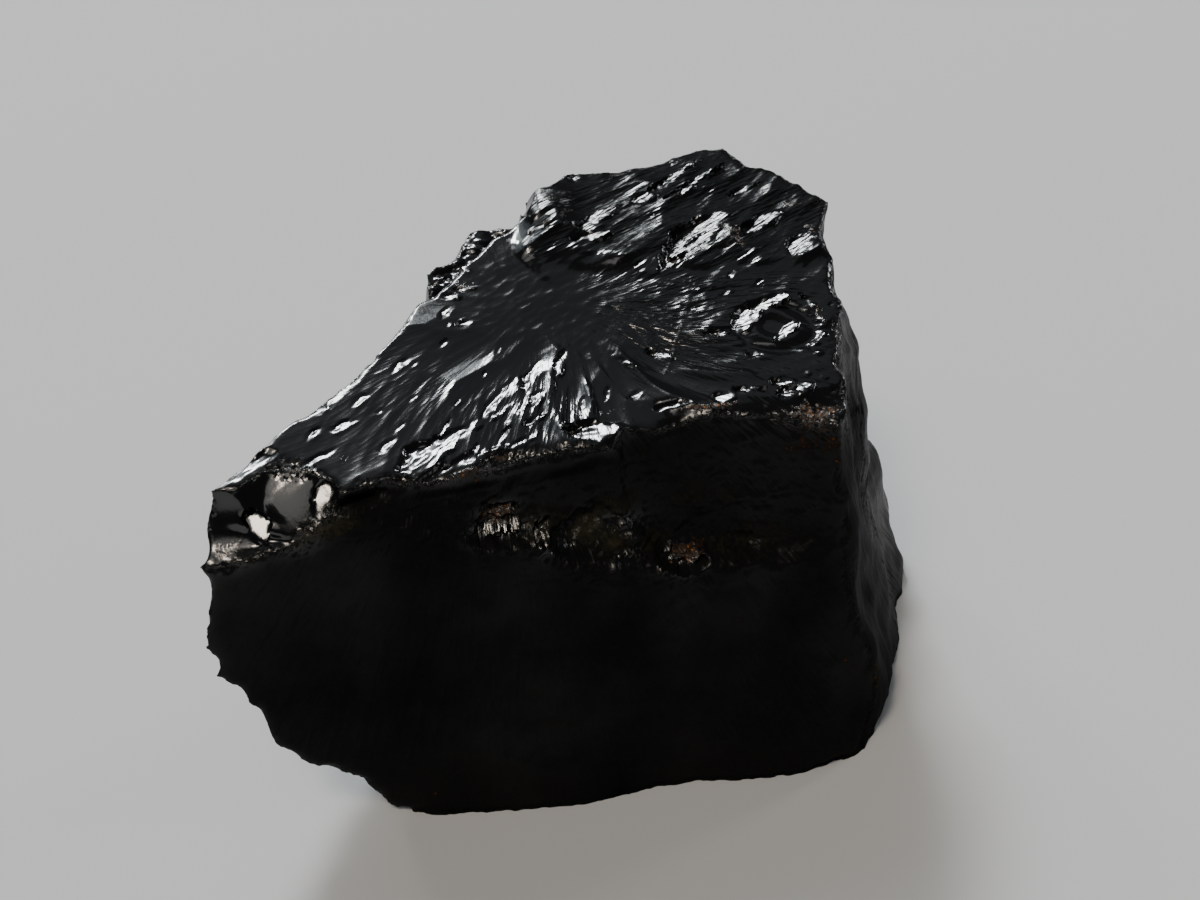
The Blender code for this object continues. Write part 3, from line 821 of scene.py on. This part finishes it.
# Chips lost along the edges, each towards the middle of the stone; few on the scoop.
outward = np.array([slab.out for slab in slabs] + [np.array([0.0, 0.0, -1.0])])
towards = outward[face] + outward[neighbour]
towards = towards / np.maximum(np.linalg.norm(towards, axis=1), 0.3)[:, None]
lost = 0.05 + 0.13 * crumbs(bench, 0.50, 301) + 0.10 * crumbs(bench, 0.95, 303)
lost = lost * beside(from_edge, 0.22)
lost = lost + 0.25 * crumbs(bench, 1.9, 307) * beside(from_edge, 0.45)
lost = np.where((face == CHIP) | (neighbour == CHIP), 0.35, 1.0) * lost
moved = points - lost[:, None] * towards

# The tip is worn back, while the upper corner of the glassy scoop juts out to the left.
WORN_WIDTH = 1.5
WORN_BACK = 0.35 * np.array([0.8, 0.5, 0.3])
JUT_WIDTH = 3.0
JUT_OUT = -1.0 * np.array([0.9, 0.2, 0.25])
worn = np.exp(-(((bench - np.array(LEFT_TIP)) ** 2).sum(1)) / WORN_WIDTH**2)
jut = np.exp(-(((bench - np.array(TOP_LEFT)) ** 2).sum(1)) / JUT_WIDTH**2)
moved = moved + worn[:, None] * WORN_BACK + jut[:, None] * JUT_OUT

# Handling has rubbed the edges: points near one settle among their neighbours.
EDGE_TURNS = 8
TIP_TURNS = 22
links = np.empty(len(struck.edges) * 2, dtype=np.int32)
struck.edges.foreach_get("vertices", links)
ends = np.concatenate([links[0::2], links[1::2]])
others = np.concatenate([links[1::2], links[0::2]])
neighbours = np.bincount(ends, minlength=len(points))


def rubbed(moved, how_much, turns):
    """The points, each moved a part of the way to the middle of its neighbours."""
    for _ in range(turns):
        sums = [np.bincount(ends, moved[others, axis], len(points)) for axis in range(3)]
        middle = np.stack(sums, 1) / neighbours[:, None]
        moved = moved + how_much[:, None] * (middle - moved)
    return moved


edges = 0.55 * beside(from_edge, np.where(glassy, 0.28, 0.60))
moved = rubbed(moved, np.maximum(edges, 0.9 * worn), EDGE_TURNS)
moved = rubbed(moved, 0.9 * worn, TIP_TURNS)

# Fresh crumbs lost since then, mostly from the duller faces. The base stays flat.
crumbled = 0.11 * crumbs(bench, 0.42, 311) + 0.14 * crumbs(bench, 0.80, 313)
crumbled = crumbled * beside(from_edge, 0.35) * np.where(glassy, 0.25, 1.0)
moved = moved - crumbled[:, None] * towards
moved[:, 2] = np.maximum(np.where(points[:, 2] < 0.001, 0.0, moved[:, 2]), 0.0)
struck.vertices.foreach_set("co", (moved * MM).ravel())
struck.update()
struck.shade_smooth()
struck.set_sharp_from_angle(angle=math.radians(40.0))
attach(stone, "root")
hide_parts("shungite_stone")


# ---------------------------------------------------------------------------------------
# The broken glass surface. Jet black and shiny on the fresh top, duller on the front and
# the sides, with rust-brown films on some edges and a little clay in the bites.
#
# Spots of each film on each fracture, as u, v, half length, half width and strength.
RUST = {
    TOP: [
        (26.9, 12.2, 0.9, 1.2, 0.75),
        (30.4, 14.2, 1.4, 0.25, 0.9),
        (31.0, 12.4, 0.5, 0.9, 0.9),
        (29.9, 6.6, 0.4, 1.0, 0.8),
        (28.3, 0.8, 1.9, 0.7, 1.0),
        (11.5, -0.6, 0.9, 0.25, 0.9),
        (13.0, 0.1, 0.5, 0.25, 0.9),
        (17.9, 2.1, 1.8, 0.22, 0.8),
        (23.0, 1.6, 2.4, 0.25, 0.8),
        (6.0, 0.9, 0.7, 0.35, 0.7),
        (18.0, 15.6, 0.8, 1.2, 0.6),
        (12.6, 11.0, 0.8, 0.6, 0.5),
    ],
    FRONT: [
        (0.9, 16.1, 1.3, 0.8, 1.0),
        (9.9, 12.5, 1.3, 0.7, 1.1),
        (16.6, 17.6, 2.2, 1.2, 0.9),
        (12.2, 8.6, 0.35, 0.9, 0.7),
        (18.0, 5.0, 0.6, 1.4, 0.7),
        (-0.6, 7.5, 0.7, 0.15, 0.6),
        (-3.3, 1.3, 0.5, 0.4, 0.6),
    ],
    RIGHT_FRONT: [(0.5, 17.5, 1.5, 2.0, 0.9), (0.5, 4.0, 0.6, 2.0, 0.6)],
    LEFT: [(20.0, 5.0, 3.5, 1.2, 0.6), (8.0, 19.0, 4.0, 2.0, 0.6)],
    BACK: [(-3.0, 9.0, 1.2, 4.0, 0.6), (6.0, 17.0, 3.5, 1.5, 0.6)],
    RIGHT: [(3.0, 18.0, 2.0, 1.0, 0.6), (7.5, 5.0, 1.0, 3.0, 0.5)],
    BACK_RIGHT: [(7.0, 6.0, 2.5, 1.5, 0.5)],
}
CLAY = {
    FRONT: [
        (5.2, 14.6, 1.0, 0.9, 0.9),
        (6.3, 13.9, 0.9, 0.7, 0.8),
        (5.9, 15.4, 0.7, 0.6, 0.7),
        (3.0, 15.3, 1.8, 0.9, 0.5),
        (8.3, 13.3, 1.6, 0.7, 0.6),
        (6.4, 15.6, 1.6, 1.0, 0.6),
        (13.0, 12.6, 3.0, 0.9, 0.5),
        (11.0, 15.0, 3.0, 1.2, 0.4),
        (-7.5, 17.2, 3.5, 0.6, 0.7),
    ],
    CHIP: [(1.2, 0.6, 1.8, 0.5, 0.5), (7.6, 0.7, 1.6, 0.8, 0.8)],
    UNDER: [(9.0, 6.0, 9.0, 5.0, 0.6)],
}
# Fresh spots on the ledge, where the front is nearly as shiny as the top.
FRESH_FRONT = [
    (0.9, 16.3, 0.8, 0.4, 1.0),
    (0.9, 15.4, 1.2, 0.5, 1.0),
    (2.9, 14.9, 0.4, 0.7, 1.0),
    (9.7, 12.4, 1.1, 0.5, 1.0),
    (4.3, 14.0, 0.7, 0.25, 0.8),
    (6.6, 13.1, 0.8, 0.25, 0.8),
    (6.0, 14.6, 1.6, 0.5, 0.5),
]
# How dull each fracture is, in the order of their numbers.
DULLNESS = {
    TOP: 0.0,
    FRONT: 0.94,
    CHIP: 0.03,
    LEFT: 0.36,
    UNDER: 0.68,
    RIGHT_FRONT: 0.95,
    RIGHT: 0.64,
    BACK_RIGHT: 0.34,
    BACK: 0.32,
    BASE: 1.0,
}


def keep(name, values):
    """Stores one number for every point of the stone, for its material to read."""
    layer = struck.attributes.new(name, "FLOAT", "POINT")
    layer.data.foreach_set("value", np.ascontiguousarray(values, dtype=np.float32))


def on_face(k, spots):
    """Soft round spots on one fracture: u, v, half length, half width and strength."""
    u, v = places[k]
    total = np.zeros(len(u))
    for u0, v0, size_u, size_v, strength in spots:
        total = np.maximum(total, strength * lump(u, v, u0, v0, size_u, size_v))
    return total * np.exp(-depths[k] / 0.6)


keep("rust", np.max([on_face(k, spots) for k, spots in RUST.items()], axis=0))
keep("clay", np.max([on_face(k, spots) for k, spots in CLAY.items()], axis=0))
keep("near_edge", np.exp(-from_edge / 0.5))
share = np.exp(-depths / 0.25)
dull = (np.array(list(DULLNESS.values()))[:, None] * share).sum(0) / share.sum(0)
dull = dull * (1.0 - 0.8 * on_face(FRONT, FRESH_FRONT))
u, v = places[TOP]
crack = np.where(face == TOP, groove(u, v, HAIRLINE, 0.10), 0.0)
keep("dull", np.maximum(dull, crack))

# Hairlines on every fracture point back to the start of its crack. Runs are how often
# they change with the logarithm of the distance from it, lanes how many there are round it.
TOP_RUNS, TOP_LANES = 5.0, 27.0
SIDE_RUNS, SIDE_LANES = 8.0, 50.0


def top_strands(u, v):
    """Hairline coordinates and strength on the top face, along the ridges on its terrace."""
    radius, bearing = fan_lines(u, v)
    high = terrace(u, v)
    line = np.stack([np.log(radius) * TOP_RUNS, bearing * TOP_LANES, np.zeros(len(u))], 1)
    flow, side = turned(u, v, *RIDGES)
    ridge = np.stack([flow / 1.6, side / 0.20, np.full(len(u), 3.0)], 1)
    line = np.where(high[:, None] > 0.5, ridge, line)
    width = np.clip((radius - 2.2) / 4.0, 0.0, 1.0) * liveliness(u, v, bearing)
    width = np.where(high > 0.5, 0.9, width)
    width = width * np.clip(4.0 * abs(high - 0.5) - 0.4, 0.0, 1.0)
    return line, width * (1.0 - 0.85 * lump(u, v, EYE_U, EYE_V, 1.6, 1.5))


def side_strands(u, v, start, number):
    """The same on any other fracture; number keeps its pattern apart from the others."""
    radius = np.hypot(u - start[0], v - start[1]) + 0.5
    bearing = np.arctan2(u - start[0], start[2] * (v - start[1]))
    apart = np.full(len(u), number * 7.0)
    line = np.stack([np.log(radius) * SIDE_RUNS, bearing * SIDE_LANES, apart], 1)
    width = np.clip((radius - 1.2) / 9.0, 0.0, 1.0)
    return line, width * np.clip((3.1 - abs(bearing)) * 4.0, 0.0, 1.0)


strands = np.zeros((len(points), 3))
strand_width = np.zeros(len(points))
for k, slab in enumerate(slabs):
    u, v = places[k]
    line, width = top_strands(u, v) if k == TOP else side_strands(u, v, slab.start, k)
    if k == CHIP:
        width = 0.05 * width
    strands = np.where((face == k)[:, None], line, strands)
    strand_width = np.where(face == k, width, strand_width)
layer = struck.attributes.new("strands", "FLOAT_VECTOR", "POINT")
layer.data.foreach_set("vector", strands.astype(np.float32).ravel())
keep("strand_width", strand_width)


class Wire:
    """One socket of a node tree. Arithmetic on it adds Math nodes to the same tree."""

    def __init__(self, socket):
        self.socket = socket

    def node(self, kind, settings=None, sockets=None, output=0):
        """Adds any other node to the tree: its settings first, then its sockets."""
        made = self.socket.id_data.nodes.new(kind)
        for key, value in (settings or {}).items():
            setattr(made, key, value)
        for key, value in (sockets or {}).items():
            if isinstance(value, Wire):
                value.joins(made.inputs[key])
            else:
                made.inputs[key].default_value = value
        return Wire(made.outputs[output])

    def joins(self, target):
        """Links this socket to an input."""
        self.socket.id_data.links.new(self.socket, target)

    def math(self, operation, a, b):
        return self.node("ShaderNodeMath", {"operation": operation}, {0: a, 1: b})

    def __add__(self, other):
        return self.math("ADD", self, other)

    __radd__ = __add__

    def __sub__(self, other):
        return self.math("SUBTRACT", self, other)

    def __rsub__(self, other):
        return self.math("SUBTRACT", other, self)

    def __mul__(self, other):
        return self.math("MULTIPLY", self, other)

    __rmul__ = __mul__

    def above(self, low, high):
        """Nought below low, one above high and an even change between."""
        settings = {"data_type": "FLOAT", "clamp": True}
        return self.node("ShaderNodeMapRange", settings, {0: self, 1: low, 2: high})


skin = bpy.data.materials.new("elite_shungite_glass")
skin.use_nodes = True
glass = skin.node_tree.nodes["Principled BSDF"]
bright = Wire(glass.outputs[0])


def stored(name, output="Fac"):
    return bright.node("ShaderNodeAttribute", {"attribute_name": name}, {}, output)


def noise(vector, scale, detail, rough=0.5):
    sockets = {"Vector": vector, "Scale": scale, "Detail": detail, "Roughness": rough}
    return bright.node("ShaderNodeTexNoise", {}, sockets, "Fac")


def cells(vector, scale, output="Distance"):
    sockets = {"Vector": vector, "Scale": scale}
    return bright.node("ShaderNodeTexVoronoi", {}, sockets, output)


def vectors(operation, sockets):
    return bright.node("ShaderNodeVectorMath", {"operation": operation}, sockets)


def laid_over(under, over, factor):
    """One colour over another, as far as the factor says."""
    sockets = {0: factor, 6: under, 7: over}
    return bright.node("ShaderNodeMix", {"data_type": "RGBA"}, sockets, 2)


JET = (0.0040, 0.0042, 0.0046, 1.0)
SMOKE = (0.0085, 0.0085, 0.0085, 1.0)
BROWN = (0.035, 0.018, 0.009, 1.0)
OCHRE = (0.34, 0.12, 0.025, 1.0)
OLIVE = (0.040, 0.036, 0.020, 1.0)
GLASS_IOR = 1.65
BUMP_HEIGHT = 0.00005

place = bright.node("ShaderNodeTexCoord", {}, {}, "Object")
strand = stored("strands", "Vector")
near_edge = stored("near_edge")
dull = stored("dull")
blotch = noise(place, 420.0, 4.0)
speckle = noise(place, 3800.0, 3.0, 0.6)
grain = noise(place, 6500.0, 2.0)
patch = noise(place, 170.0, 3.0)
grit = cells(place, 4200.0)
coarse_hair = cells(strand, 1.0)
fine_hair = cells(strand, 2.3)
hair = coarse_hair * coarse_hair * 1.5 + fine_hair * fine_hair * 0.7
hair = (hair + noise(strand, 0.7, 2.0) * 0.4) * stored("strand_width")

# The films: rust with coppery grains in it, and thin olive clay, both ragged at the rim.
ragged = (speckle - 0.5) * 1.5 + (blotch - 0.5) * 1.1
rust = (stored("rust") * 0.8 + near_edge * 0.15 + ragged).above(0.55, 0.80)
clay = (stored("clay") + (speckle - 0.5) * 1.0 + (blotch - 0.5) * 0.8).above(0.35, 0.95)
body = laid_over(JET, SMOKE, dull * speckle)
film = laid_over(OCHRE, BROWN, grit.above(0.12, 0.30))
coated = laid_over(laid_over(body, film, rust * 0.75), OLIVE, clay * 0.6)

# Fine relief: hairlines along the hackles, and a faint grain where the break is dull.
height = hair + grain * 0.10 + speckle * dull * 0.8 + rust * grit * 1.2 + clay * speckle
relief = {"Strength": 0.55, "Distance": BUMP_HEIGHT, "Height": height}
normal = bright.node("ShaderNodeBump", {}, relief, "Normal")
# Crushed grains: tiny facets that each face their own way, on edges and in the bites.
crushed = near_edge * 0.65 + clay * 0.9 + rust * 0.6 + (blotch - 0.5) * 1.2
facets = vectors("SUBTRACT", {0: cells(place, 7000.0, "Color"), 1: (0.5, 0.5, 0.5)})
facets = vectors("SCALE", {0: facets, "Scale": crushed.above(0.30, 0.75) * 0.9})
normal = vectors("NORMALIZE", {0: vectors("ADD", {0: normal, 1: facets})})

# Bright glass, with the same surface as a dry char laid over it where it is dull.
glass.inputs["IOR"].default_value = GLASS_IOR
coated.joins(glass.inputs["Base Color"])
normal.joins(glass.inputs["Normal"])
(rust * grit.above(0.25, 0.15) * 0.7).joins(glass.inputs["Metallic"])
shine = 0.07 + blotch * 0.13 + near_edge * 0.05 + rust * 0.25 + clay * 0.20 + dull * 0.16
shine.joins(glass.inputs["Roughness"])
char = {"Roughness": 0.7, "IOR": 1.45, "Specular IOR Level": 0.02}
char.update({"Base Color": coated, "Normal": normal})
dry = bright.node("ShaderNodeBsdfPrincipled", {}, char, "BSDF")
cover = dull + (patch - 0.5) * dull * (1.0 - dull) * 6.0 + rust * 0.3 + clay * 0.4
both = {0: cover.above(0.0, 1.0), 1: bright, 2: dry}
surface = bright.node("ShaderNodeMixShader", {}, both, "Shader")
surface.joins(skin.node_tree.nodes["Material Output"].inputs["Surface"])
struck.materials.clear()
struck.materials.append(skin)


# ---------------------------------------------------------------------------------------
# Studio: a plain pale floor and soft panels. The main light is behind and above the
# stone, with wider and weaker ones round it, a fill and a small warm light in front, and
# a strip on the right and on either side behind, for the sides.
FLOOR_HALF = 4.0
CAMERA_DISTANCE = 0.105
CAMERA_AIM_HEIGHT = 0.011
CAMERA_TILT = math.radians(36.0)

mesh = bpy.data.meshes.new("studio_floor")
corners = [(x * FLOOR_HALF, y * FLOOR_HALF, 0.0) for x, y in ((-1, -1), (1, -1), (1, 1), (-1, 1))]
mesh.from_pydata(corners, [], [(0, 1, 2, 3)])
floor = bpy.data.objects.new("studio_floor", mesh)
bpy.context.collection.objects.link(floor)
paper = bpy.data.materials.new("pale_floor")
paper.use_nodes = True
matt = paper.node_tree.nodes["Principled BSDF"]
matt.inputs["Base Color"].default_value = (0.52, 0.53, 0.54, 1.0)
matt.inputs["Roughness"].default_value = 0.9
matt.inputs["Specular IOR Level"].default_value = 0.1
floor.data.materials.append(paper)


def softbox(name, azimuth, elevation, distance, size, power, tint):
    """A rectangular light aimed at the foot of the stone; azimuth 0 is behind the camera."""
    a, e = math.radians(azimuth), math.radians(elevation)
    light = bpy.data.lights.new(name, "AREA")
    light.shape = "RECTANGLE"
    light.size, light.size_y = size
    light.energy = power
    light.color = tint
    lamp = bpy.data.objects.new(name, light)
    bpy.context.collection.objects.link(lamp)
    away = (math.sin(a) * math.cos(e), -math.cos(a) * math.cos(e), math.sin(e))
    lamp.location = [distance * part for part in away]
    lamp.rotation_euler = (math.pi / 2 - e, 0.0, a)


softbox("back_softbox", 200.0, 48.0, 1.5, (0.32, 0.25), 18.0, (0.96, 0.99, 1.0))
softbox("back_glow", 200.0, 48.0, 1.7, (0.75, 0.60), 3.6, (0.92, 0.97, 1.0))
softbox("back_haze", 206.0, 43.0, 1.9, (1.10, 0.85), 2.0, (0.86, 0.95, 1.0))
softbox("sky_panel", 216.0, 42.0, 2.2, (1.7, 1.2), 3.5, (0.80, 0.93, 1.0))
softbox("ceiling", 168.0, 64.0, 2.4, (2.0, 1.7), 1.8, (0.84, 0.94, 1.0))
softbox("front_fill", -30.0, 60.0, 2.0, (1.5, 1.1), 7.0, (1.0, 0.99, 0.97))
softbox("warm_glint", -30.0, 60.0, 1.5, (0.28, 0.28), 9.0, (1.0, 0.86, 0.70))
softbox("right_strip", 92.0, 22.0, 1.6, (0.22, 0.40), 1.5, (0.95, 0.98, 1.0))
softbox("rear_right_strip", 130.0, 20.0, 1.6, (0.22, 0.40), 4.0, (0.95, 0.98, 1.0))
softbox("rear_left_strip", -148.0, 18.0, 1.6, (0.26, 0.40), 5.0, (0.95, 0.98, 1.0))

world = bpy.data.worlds.new("dim_room")
world.use_nodes = True
world.node_tree.nodes["Background"].inputs[0].default_value = (0.03, 0.031, 0.033, 1.0)
bpy.context.scene.world = world

camera = bpy.data.cameras.new("camera")
camera.lens = 60.0
camera.sensor_width = 36.0
camera.clip_start = 0.005
camera.clip_end = 20.0
viewer = bpy.data.objects.new("camera", camera)
bpy.context.collection.objects.link(viewer)
viewer.location = (
    -MIDDLE_X * MM,
    -MIDDLE_Y * MM - CAMERA_DISTANCE * math.cos(CAMERA_TILT),
    CAMERA_AIM_HEIGHT + CAMERA_DISTANCE * math.sin(CAMERA_TILT),
)
viewer.rotation_euler = (math.pi / 2 - CAMERA_TILT, 0.0, 0.0)
bpy.context.scene.camera = viewer
